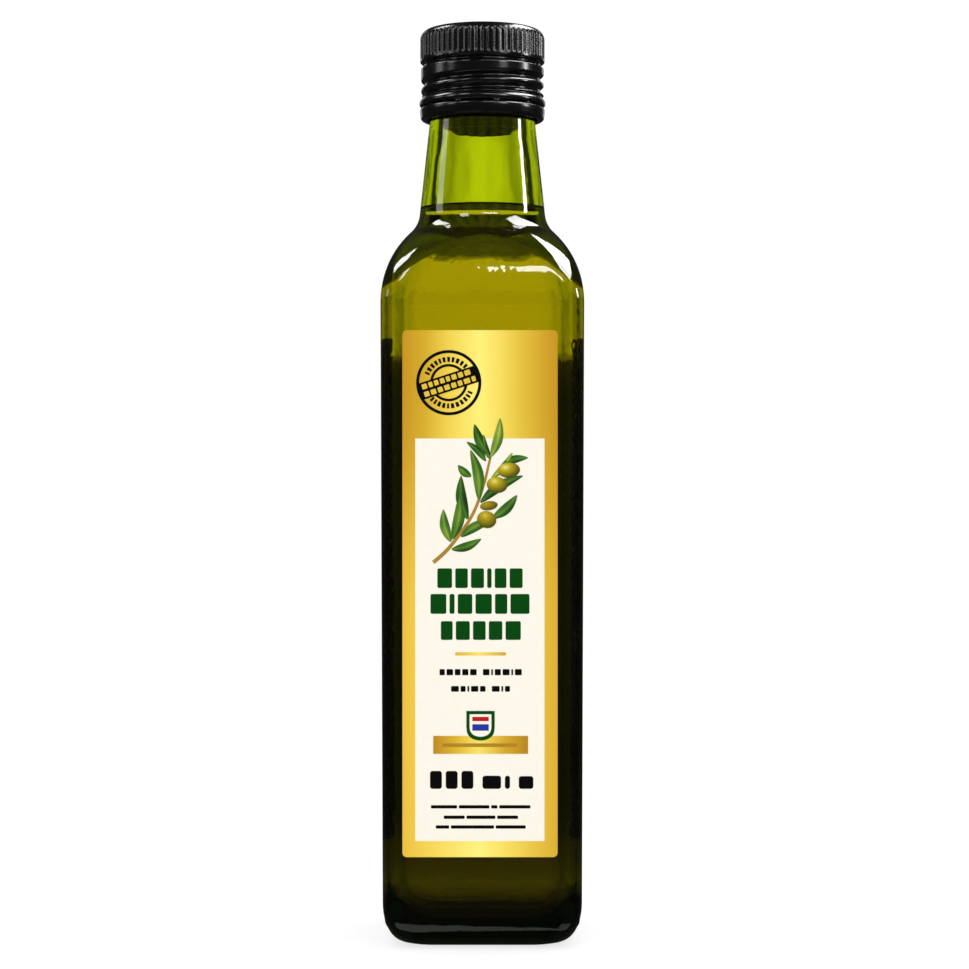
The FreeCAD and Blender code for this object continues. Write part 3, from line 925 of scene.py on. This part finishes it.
def makeGoldBars():
    bm = bmesh.new()
    for bar in (barShape, ruleShape):
        addBar(bm, bar, 0.08, "panelLift", "inkLift", 1)
    # gold with a painted reflection across each bar
    addPrint("gold_bars", bm, barReflectionGold)
    bm = bmesh.new()
    addBar(bm, lineShape, 0.2, "inkLift", "reliefLift")
    addPrint("gold_bar_line", bm, lineGold)


shieldShape = {
    "x": -0.415,
    "top": 54.95,
    "bottom": 48.12,
    "half": 3.26,
    "straight": 0.55,
    "barHalf": 1.9,
    "redBar": (52.6, 53.6),
    "blueBar": (50.4, 51.9),
}


def shieldOutline(x, top, bottom, half):
    bendStart = mix(top, bottom, shieldShape["straight"])
    outline = [(x - half, top), (x - half, bendStart)]
    for step in range(1, 13):
        turn = math.pi * step / 13
        drop = (bendStart - bottom) * math.sin(turn) ** 0.75
        outline.append((x - half * math.cos(turn), bendStart - drop))
    outline += [(x + half, bendStart), (x + half, top)]
    return outline[::-1]


def makeShield():
    # a plain shield: green rim, pale field, a red bar over a blue one
    s = shieldShape
    relief = labelShape["reliefLift"]
    for name, finish, inset, low, high in (
            ("shield_rim", greenInk, 0, labelShape["panelLift"], relief + 0.01),
            ("shield_field", panelFinish, 0.75, relief, relief + 0.02)):
        bm = bmesh.new()
        outline = shieldOutline(s["x"], s["top"] - inset, s["bottom"] + inset * 1.2, s["half"] - inset)
        addPlate(bm, outline, low, high)
        addPrint(name, bm, finish)
    for name, finish, (bottom, top) in (
            ("shield_bar_high", redInk, s["redBar"]), ("shield_bar_low", blueInk, s["blueBar"])):
        bm = bmesh.new()
        outline = roundedBar(s["x"] - s["barHalf"], s["x"] + s["barHalf"], bottom, top, 0.15, 2)
        addPlate(bm, outline, relief + 0.02, relief + 0.035)
        addPrint(name, bm, finish)


sealShape = {
    "x": -7.74,
    "z": 130.68,
    "outer": 7.52,
    "outerWidth": 0.69,
    "inner": 4.31,
    "innerWidth": 0.6,
    "bandHalf": 1.95,
    "bandReach": 6.95,
    "bandTilt": math.radians(18),
    "lift": 0.04,
    "markArcs": ((42, 156), (222, 336)),
    "markOuter": 5.95,
    "markWidth": 1.15,
    "markReach": 6.2,
    "markRows": ((0.3, 1.5), (-1.5, -0.3)),
    "markSweep": (5, 3),  # least degrees, and how much more at random
    "markGap": 4.5,
    "blockWidth": (0.9, 0.55),
    "blockGap": 0.42,
}


def tilted(points, x, z, turn):
    c, s = math.cos(turn), math.sin(turn)
    return [(x + px * c - pz * s, z + px * s + pz * c) for px, pz in points]


def makeSeal():
    # a generic round seal: two rings, a slanting band and plain marks
    seal = sealShape
    x, z, tilt = seal["x"], seal["z"], seal["bandTilt"]
    low = labelShape["foilLift"]
    high = low + seal["lift"]
    bm = bmesh.new()
    addHoop(bm, x, z, seal["outer"], seal["outerWidth"], low, high)
    addHoop(bm, x, z, seal["inner"], seal["innerWidth"], low, high, steps=72)
    band = roundedBar(-seal["bandReach"], seal["bandReach"], -seal["bandHalf"], seal["bandHalf"], 0.2, 2)
    addPlate(bm, tilted(band, x, z, tilt), low, high + 0.01)
    for first, last in seal["markArcs"]:
        turn = first
        while turn < last:
            sweep = seal["markSweep"][0] + seal["markSweep"][1] * random.random()
            addHoop(
                bm, x, z, seal["markOuter"], seal["markWidth"], low, high, 4,
                math.radians(turn), math.radians(sweep))
            turn += sweep + seal["markGap"]
    addPrint("seal_black", bm, blackInk)
    bm = bmesh.new()
    for bottom, top in seal["markRows"]:
        left = -seal["markReach"]
        while left < seal["markReach"] - 0.6:
            width = seal["blockWidth"][0] + seal["blockWidth"][1] * random.random()
            mark = roundedBar(left, min(left + width, seal["markReach"]), bottom, top, 0.15, 2)
            addPlate(bm, tilted(mark, x, z, tilt), high + 0.01, high + 0.04)
            left += width + seal["blockGap"]
    addPrint("seal_marks", bm, sealGold)


makeFoil()
makePanel()
makePrint()
makeGoldBars()
makeShield()
makeSeal()
print("stage 5: front label and its print made")


# the olive sprig: leaves with a pale rib, and four olives

sprigShape = {
    "stem": [(-11.3, 89.2), (-7.4, 92.9), (-2.5, 99.8), (0.2, 106.7), (1.8, 113.2), (2.6, 116.2)],
    "stemWidth": 0.85,
    "leafBend": 0.07,
    "leafStep": 0.0016,
    "leafSteps": 12,
    "leafParts": (-1, -0.5, -0.07, 0.07, 0.5, 1),
    "fruitCount": 32,
    "fruitLevels": 8,
}
# each leaf: foot and tip (across, height), widest half, tone from 0 dark to 1 light
sprigLeaves = [
    (1.8, 113.0, 0.3, 118.6, 0.75, 0.35), (2.0, 113.6, 4.1, 122.4, 1.15, 0.8),
    (1.7, 113.9, -1.8, 121.0, 1.2, 0.15), (0.8, 112.6, -3.6, 117.0, 0.85, 0.2),
    (-2.6, 109.0, -5.6, 111.6, 0.95, 0.35), (-0.8, 103.8, -2.7, 115.1, 1.3, 0.5),
    (-3.4, 99.2, -4.9, 109.1, 1.3, 0.1), (-6.9, 94.6, -5.2, 104.8, 1.35, 0.45),
    (-7.3, 94.0, -9.0, 101.4, 1.15, 0.6), (-7.0, 92.2, -0.3, 94.6, 1.05, 0.3),
    (-4.9, 95.2, 2.4, 98.9, 1.15, 0.4), (2.4, 99.4, 8.0, 104.7, 1.2, 0.3),
    (-0.4, 103.1, 9.3, 109.2, 1.2, 0.15), (2.2, 108.7, 6.9, 114.5, 0.85, 0.95),
    (4.6, 111.8, 10.5, 113.4, 0.95, 0.25)]
# each olive: middle, half length, half width, lean in degrees, tone
sprigFruits = [
    (1.5, 102.3, 2.05, 1.05, 8, 0.55), (6.1, 110.5, 2.6, 1.75, 4, 1.0), (3.4, 107.1, 2.4, 1.85, -8, 0.95),
    (1.0, 99.1, 2.25, 1.95, -18, 0.8)]


leafTones = [
    (0.0, (24, 58, 16)), (0.3, (48, 96, 30)), (0.55, (84, 128, 40)), (0.8, (140, 164, 62)),
    (1.0, (206, 200, 92))]
fruitTones = [
    (0.0, (84, 82, 14)), (0.35, (148, 132, 20)), (0.6, (180, 162, 30)), (0.82, (212, 198, 76)),
    (1.0, (240, 234, 168))]


def toneFinish(name, stops, scale, low, high):
    # ink whose colour follows the tone painted on the points
    material, nodes, links, shader = newFinish(name, {"Specular IOR Level": 0.06})
    tone = addNode(nodes, "Attribute", attribute_name="tone")
    ramp = addRamp(nodes, paintStops(stops))
    links.new(tone.outputs["Fac"], ramp.inputs["Fac"])
    links.new(ramp.outputs["Color"], shader.inputs["Base Color"])
    gloss = placeEffect(nodes, mottle, Scale=scale, Low=low, High=high)
    links.new(gloss.outputs["Value"], shader.inputs["Roughness"])
    return material


def setTone(piece, tones):
    attribute = piece.data.attributes.new("tone", "FLOAT", "POINT")
    attribute.data.foreach_set("value", tones)


def makeLeaves(finish):
    bm = bmesh.new()
    tones = []
    steps = sprigShape["leafSteps"]
    parts = sprigShape["leafParts"]
    for number, (footX, footZ, tipX, tipZ, half, tone) in enumerate(sprigLeaves):
        flip = 1 if number % 2 else -1
        foot = Vector((footX, footZ))
        along = Vector((tipX, tipZ)) - foot
        length = along.length
        along.normalize()
        side = Vector((along.y, -along.x))
        # each later leaf lies a hair over the one before it
        base = labelShape["inkLift"] + sprigShape["leafStep"] * number
        rows, floor = [], []
        for step in range(steps + 1):
            t = step / steps
            wide = half * math.sin(math.pi * min(t * 0.95 + 0.03, 1)) ** 0.75 * (1.1 - 0.25 * t)
            bend = sprigShape["leafBend"] * length * math.sin(math.pi * t) * flip
            centre = foot + along * (length * t) + side * bend
            streak = 0.07 * math.sin(8 * t + number * 2.3)
            row = []
            for part in parts:
                point = centre + side * (part * wide)
                row.append(faceVert(bm, point.x, point.y, base + 0.02 * (1 - part * part)))
                shade = tone * 0.62 + (0.2 if part < 0 else 0.02)
                if abs(part) < 0.1:
                    shade = tone * 0.6 + 0.38
                tones.append(min(max(shade + streak, 0), 1))
            rows.append(row)
            for part in (-1, 1):
                point = centre + side * (part * wide)
                floor.append(faceVert(bm, point.x, point.y, labelShape["foilLift"]))
                tones.append(0.05)
        for step in range(steps):
            here, after = rows[step], rows[step + 1]
            for i in range(len(parts) - 1):
                bm.faces.new((here[i], here[i + 1], after[i + 1], after[i]))
            a, b, c, d = floor[2 * step:2 * step + 4]
            bm.faces.new((a, c, d, b))
            bm.faces.new((here[0], after[0], c, a))
            bm.faces.new((here[-1], b, d, after[-1]))
        bm.faces.new((*rows[0], floor[1], floor[0]))
        bm.faces.new((*rows[-1][::-1], floor[-2], floor[-1]))
    setTone(addPiece("sprig_leaves", bm, finish, (), 40, False), tones)


def makeFruits(finish):
    # domed olives, lit from the upper left
    bm = bmesh.new()
    tones = []
    count = sprigShape["fruitCount"]
    levels = sprigShape["fruitLevels"]
    for x, z, longHalf, wideHalf, lean, tone in sprigFruits:
        rows = []
        for level in range(levels + 1):
            # the first ring is the flat foot under the rim
            swell = math.pi / 2 * max(level - 1, 0) / levels
            reach = math.cos(swell)
            lift = mix(labelShape["reliefLift"] + 0.02, labelShape["topLift"], math.sin(swell))
            if not level:
                lift = labelShape["panelLift"]
            row = []
            for step in range(count):
                turn = 2 * math.pi * step / count
                across, up = reach * math.cos(turn), reach * math.sin(turn)
                point = tilted([(longHalf * across, wideHalf * up)], x, z, math.radians(lean))[0]
                row.append(faceVert(bm, *point, lift))
                toLight = math.hypot(across + 0.3, up - 0.42)
                tones.append(max(0.0, 1.0 - toLight * 0.78) * tone)
            rows.append(row)
        pole = faceVert(bm, x, z, labelShape["topLift"])
        tones.append(0.6 * tone)
        for lower, upper in zip(rows, rows[1:]):
            for i in range(count):
                j = (i + 1) % count
                bm.faces.new((lower[i], lower[j], upper[j], upper[i]))
        for i in range(count):
            bm.faces.new((rows[-1][i], rows[-1][(i + 1) % count], pole))
        bm.faces.new(rows[0][::-1])
    setTone(addPiece("sprig_fruits", bm, finish, (), 60, False), tones)


def makeStem():
    bm = bmesh.new()
    line = flowThrough(sprigShape["stem"], 6)
    left, right = [], []
    for i, point in enumerate(line):
        ahead = line[min(i + 1, len(line) - 1)] - line[max(i - 1, 0)]
        half = sprigShape["stemWidth"] / 2 * mix(1.1, 0.5, i / len(line))
        side = Vector((-ahead.y, ahead.x)).normalized() * half
        left.append(tuple(point + side))
        right.append(tuple(point - side))
    addPlate(bm, left + right[::-1], labelShape["panelLift"], labelShape["inkLift"])
    addPrint("sprig_stem", bm, inkFinish("stemInk", (186, 146, 62), (150, 112, 40)))


makeStem()
makeLeaves(toneFinish("leafInk", leafTones, 700, 0.4, 0.55))
makeFruits(toneFinish("fruitInk", fruitTones, 900, 0.3, 0.45))
print("stage 6: sprig made")


backShape = {
    "half": (backHigh.x - backLow.x) / 2,
    "margin": 3.2,
    "barHeight": 2.2,
    "printTop": 12.0,
    "printBottom": 34.0,
    "lineHeight": 1.0,
    "linePitch": 2.6,
    "ragged": 6.0,
}


def makeBackLabel():
    # plain paper label with two gold bars and rows of plain lines
    back = backShape
    half = back["half"]
    inside = half - back["margin"]
    low, high = backLow.z, backHigh.z
    bm = bmesh.new()
    addPlate(bm, roundedBar(-half, half, low, high, labelShape["corner"]), 0, labelShape["foilLift"], 1)
    addPrint("back_label_sheet", bm, backPaper, ["back_label"])
    bm = bmesh.new()
    top = high - back["printTop"]
    while top > low + back["printBottom"]:
        right = inside - back["ragged"] * random.random()
        line = {"left": -inside, "right": right, "bottom": top - back["lineHeight"], "top": top}
        addBar(bm, line, 0.3, "foilLift", "panelLift", 3, 1)
        top -= back["linePitch"]
    addPrint("back_print_lines", bm, greyInk)
    bm = bmesh.new()
    for bottom in (high - back["margin"] - back["barHeight"], low + back["margin"]):
        bar = {"left": -inside, "right": inside, "bottom": bottom, "top": bottom + back["barHeight"]}
        addBar(bm, bar, 0.2, "foilLift", "panelLift", 2, 1)
    # the back bars share the gold with the painted reflection
    addPrint("back_gold_bars", bm, barReflectionGold)


makeBackLabel()
print("stage 7: back label made")


# stage: pale floor, dark sheets of painted shade behind the glass, soft room, lamps and camera

stageShape = {
    "floorHalf": 9000.0,
    "floorDrop": 0.3,
    "floorTone": 0.35,
    "shadeSheetRadius": 90.0,
    "shadeSheetTop": 143.0,
    "shadeSheetDrop": 0.15,
    "shadeSheetSteps": 64,
    "shadeCardDistance": 260.0,
    "shadeCardTurn": math.radians(63),
    "shadeCardHalf": 80.0,
    "shadeCardTop": 300.0,
}


def makeFloor():
    half = stageShape["floorHalf"]
    drop = stageShape["floorDrop"]
    bm = bmesh.new()
    rows = [[bm.verts.new(Vector((x * half, y * half, -drop)) * mm) for x in (-1, 0, 1)] for y in (-1, 0, 1)]
    for near, far in zip(rows, rows[1:]):
        for i in range(2):
            bm.faces.new((near[i], near[i + 1], far[i + 1], far[i]))
    material, nodes, links, shader = newFinish("paleFloor", {
        "Roughness": 0.9, "Specular IOR Level": 0.1, "Emission Color": (1, 1, 1, 1),
        "Emission Strength": roomLight["floorGlow"]})
    pale = stageShape["floorTone"]
    tone = placeEffect(
        nodes, paperTone, Light=(pale, pale, pale, 1), Dark=(*[pale * 0.98] * 3, 1), Scale=4)
    links.new(tone.outputs["Color"], shader.inputs["Base Color"])
    floor = placeMesh("studioFloor", bm, material)
    floor.data.shade_smooth()
    floor.visible_glossy = False


roomLight = {
    "seen": 1.02,
    "throughGlass": 0.95,
    "throughSwing": 0.26,
    "throughCount": 12,
    "throughCrest": math.radians(29),
    "onDull": 0.8,
    "inGloss": 0.03,
    "floorGlow": 0.75,
}


def makeSky():
    # white for what is seen and seen through, softer on dull faces, dim in gloss
    world = bpy.data.worlds.new("softRoom")
    bpy.context.scene.world = world
    world.use_nodes = True
    nodes, links = world.node_tree.nodes, world.node_tree.links
    path = addNode(nodes, "LightPath")
    skies = {"seen": nodes["Background"]}
    for name in ("throughGlass", "onDull", "inGloss"):
        skies[name] = addNode(nodes, "Background")
    for name, sky in skies.items():
        sky.inputs["Color"].default_value = (1, 1, 1, 1)
        sky.inputs["Strength"].default_value = roomLight[name]
    # the room behind the glass has brighter and darker upright stretches, the same all round
    place = addNode(nodes, "TexCoord")
    split = addNode(nodes, "SeparateXYZ")
    links.new(place.outputs["Generated"], split.inputs["Vector"])
    azimuth = addNode(nodes, "Math", operation="ARCTAN2")
    links.new(split.outputs["X"], azimuth.inputs[0])
    links.new(split.outputs["Y"], azimuth.inputs[1])
    value = azimuth.outputs["Value"]
    count = roomLight["throughCount"]
    swing = roomLight["throughSwing"]
    for operation, numbers in (
            ("ABSOLUTE", {}), ("MULTIPLY_ADD", {1: count, 2: -count * roomLight["throughCrest"]}),
            ("COSINE", {}), ("MULTIPLY_ADD", {1: swing, 2: 1 - swing}),
            ("MULTIPLY", {1: roomLight["throughGlass"]})):
        step = addNode(nodes, "Math", numbers, operation=operation)
        links.new(value, step.inputs[0])
        value = step.outputs["Value"]
    links.new(value, skies["throughGlass"].inputs["Strength"])
    # a ray that went through glass counts as glossy too, so those are taken out
    inGloss = addNode(nodes, "Math", operation="SUBTRACT", use_clamp=True)
    links.new(path.outputs["Is Glossy Ray"], inGloss.inputs[0])
    links.new(path.outputs["Is Transmission Ray"], inGloss.inputs[1])
    shown = skies["seen"].outputs["Background"]
    for share, name in (
            (path.outputs["Is Transmission Ray"], "throughGlass"),
            (path.outputs["Is Diffuse Ray"], "onDull"), (inGloss.outputs["Value"], "inGloss")):
        blend = addNode(nodes, "MixShader")
        links.new(share, blend.inputs["Fac"])
        links.new(shown, blend.inputs[1])
        links.new(skies[name].outputs["Background"], blend.inputs[2])
        shown = blend.outputs["Shader"]
    links.new(shown, nodes["World Output"].inputs["Surface"])


# painted shade of the ring sheet by height, seen only through glass: a dim glow at the foot, nearly black,
# then a pale top edge of painted light
ringShadeGlow = [
    (0.0, 0.1), (0.05, 0.06), (0.12, 0.02), (0.26, 0.02), (0.92, 0.03), (0.985, 0.06), (1.0, 0.7)]
# painted shade of the grey sheet under the bottle, seen only through glass: black in the middle, a faint
# glow further out
footShadeGlow = [(0.0, 0.0), (0.5, 0.01), (0.75, 0.08), (1.0, 0.13)]
# painted shade of the two dark cards beside the neck, seen only through glass
cardShadeGlow = [(0.0, 0.02), (1.0, 0.03)]


def addShadeSheet(name, bm, glow, reach, outward=False):
    # a dark sheet of painted shade that only what is seen through glass can meet; its glow, by height or
    # outward, is painted light
    material, nodes, links, shader = newFinish(name + "Cloth", {
        "Emission Strength": 1.0, "Base Color": (0, 0, 0, 1), "Specular IOR Level": 0.0})
    place = addNode(nodes, "TexCoord")
    along = addNode(nodes, "MapRange", {"From Max": reach * mm})
    ramp = addRamp(nodes, [(position, (level, level, level)) for position, level in glow])
    if outward:
        measure = addNode(nodes, "VectorMath", operation="LENGTH")
    else:
        measure = addNode(nodes, "SeparateXYZ")
    links.new(place.outputs["Object"], measure.inputs["Vector"])
    links.new(measure.outputs["Value" if outward else "Z"], along.inputs["Value"])
    links.new(along.outputs["Result"], ramp.inputs["Fac"])
    links.new(ramp.outputs["Color"], shader.inputs["Emission Color"])
    shadeSheet = placeMesh(name, bm, material)
    shadeSheet.visible_camera = False
    shadeSheet.visible_shadow = False
    shadeSheet.visible_diffuse = False
    shadeSheet.visible_glossy = False


def makeShadeSheets():
    # painted shade seen through the glass: a grey sheet and a dark ring darken the lower body, two dark
    # cards paint dark edges on the neck
    radius = stageShape["shadeSheetRadius"]
    top = stageShape["shadeSheetTop"]
    drop = stageShape["shadeSheetDrop"]
    steps = stageShape["shadeSheetSteps"]
    inner = roundRing(radius * 0.3, -drop, steps)
    outer = roundRing(radius, -drop, steps)
    upper = roundRing(radius, top - drop, steps)
    bm = bmesh.new()
    skinRings(bm, [inner, outer], closeStart=True)
    addShadeSheet("footShadeSheet", bm, footShadeGlow, radius, True)
    bm = bmesh.new()
    skinRings(bm, [outer, upper])
    addShadeSheet("ringShadeSheet", bm, ringShadeGlow, top)
    rise = Vector((0, 0, stageShape["shadeCardTop"]))
    # two dark cards of painted shade, seen only through glass, darken the edges of the neck
    for side, name in ((-1, "leftShadeCard"), (1, "rightShadeCard")):
        turn = side * stageShape["shadeCardTurn"]
        middle = Vector((math.sin(turn), math.cos(turn), 0)) * stageShape["shadeCardDistance"]
        along = Vector((math.cos(turn), -math.sin(turn), 0)) * stageShape["shadeCardHalf"]
        near, far = middle - along, middle + along
        bm = bmesh.new()
        bm.faces.new([bm.verts.new(corner * mm) for corner in (near, far, far + rise, near + rise)])
        addShadeSheet(name, bm, cardShadeGlow, stageShape["shadeCardTop"])


# azimuth from the front towards +X, elevation, distance, width, height, brightness, height aimed at,
# and whether it also lights dull faces
lightRig = {
    "leftStrip": (-87, 17, 900, 230, 190, 3.2, 150, False),
    "rightStrip": (88, 17, 900, 120, 220, 22.0, 150, False),
    "frontTop": (15.5, 36, 1100, 470, 110, 14.0, 155, False),
    "highRight": (104, 52, 1000, 1050, 380, 16.0, 165, False),
    "highLeftBack": (-112, 50, 1000, 300, 330, 12.0, 165, False),
    "highLeftFront": (-38, 42, 1000, 220, 240, 9.0, 165, False),
    "heelLeft": (-38, -52, 500, 520, 220, 0.6, 5, False),
    "heelRight": (52, -52, 500, 380, 220, 0.5, 5, False),
    "overhead": (0, 89, 1500, 1500, 1500, 0.7, 0, True),
    "frontFill": (0, 12, 1600, 1500, 900, 0.5, 100, True),
}
# the same, for lamps that only light the cap
capRig = {
    "capLeft": (-61, 24, 900, 170, 420, 5.0, 205, False),
    "capRight": (40, 24, 900, 190, 420, 9.0, 205, False),
    "capRimLeft": (-158, 12, 900, 200, 400, 1.0, 205, False),
    "capRimRight": (158, 12, 900, 200, 400, 1.0, 205, False),
}


def makeLights():
    onCap = bpy.data.collections.new("onCap")
    onCap.objects.link(bpy.data.objects["screw_cap_shell"])
    for name, values in (*lightRig.items(), *capRig.items()):
        azimuth, elevation, distance, width, height, brightness, aim, onDull = values
        light = bpy.data.lights.new(name, "AREA")
        light.shape = "RECTANGLE"
        light.size = width * mm
        light.size_y = height * mm
        light.energy = brightness * math.pi * width * height * mm * mm
        lamp = bpy.data.objects.new(name, light)
        bpy.context.scene.collection.objects.link(lamp)
        a, e = math.radians(azimuth), math.radians(elevation)
        away = Vector((math.sin(a) * math.cos(e), -math.cos(a) * math.cos(e), math.sin(e)))
        lamp.location = Vector((0, 0, aim * mm)) + away * distance * mm
        lamp.rotation_mode = "QUATERNION"
        lamp.rotation_quaternion = away.to_track_quat("Z", "Y")
        lamp.visible_diffuse = onDull
        lamp.visible_glossy = not onDull
        lamp.visible_transmission = False
        if name in capRig:
            lamp.light_linking.receiver_collection = onCap


cameraPlace = {
    "lens": 95.0,
    "x": 0.5,
    "distance": 613.4,
    "height": 107.2,
    "sensor": 36,
    "clipNear": 0.01,
    "clipFar": 50,
}


def makeCamera():
    lens = bpy.data.cameras.new("productCamera")
    lens.lens = cameraPlace["lens"]
    lens.sensor_width = cameraPlace["sensor"]
    lens.clip_start = cameraPlace["clipNear"]
    lens.clip_end = cameraPlace["clipFar"]
    camera = bpy.data.objects.new("productCamera", lens)
    bpy.context.scene.collection.objects.link(camera)
    place = Vector((cameraPlace["x"], -cameraPlace["distance"], cameraPlace["height"]))
    camera.location = place * mm
    camera.rotation_euler = (math.pi / 2, 0, 0)
    bpy.context.scene.camera = camera


makeFloor()
makeShadeSheets()
makeSky()
makeLights()
makeCamera()
bpy.context.scene.view_settings.view_transform = "Standard"
# light crosses glass, oil and glass again, so it needs many bounces
rays = bpy.context.scene.cycles
rays.max_bounces = 24
rays.transmission_bounces = 24
rays.glossy_bounces = 8
print("stage 8: floor, lights and camera set")
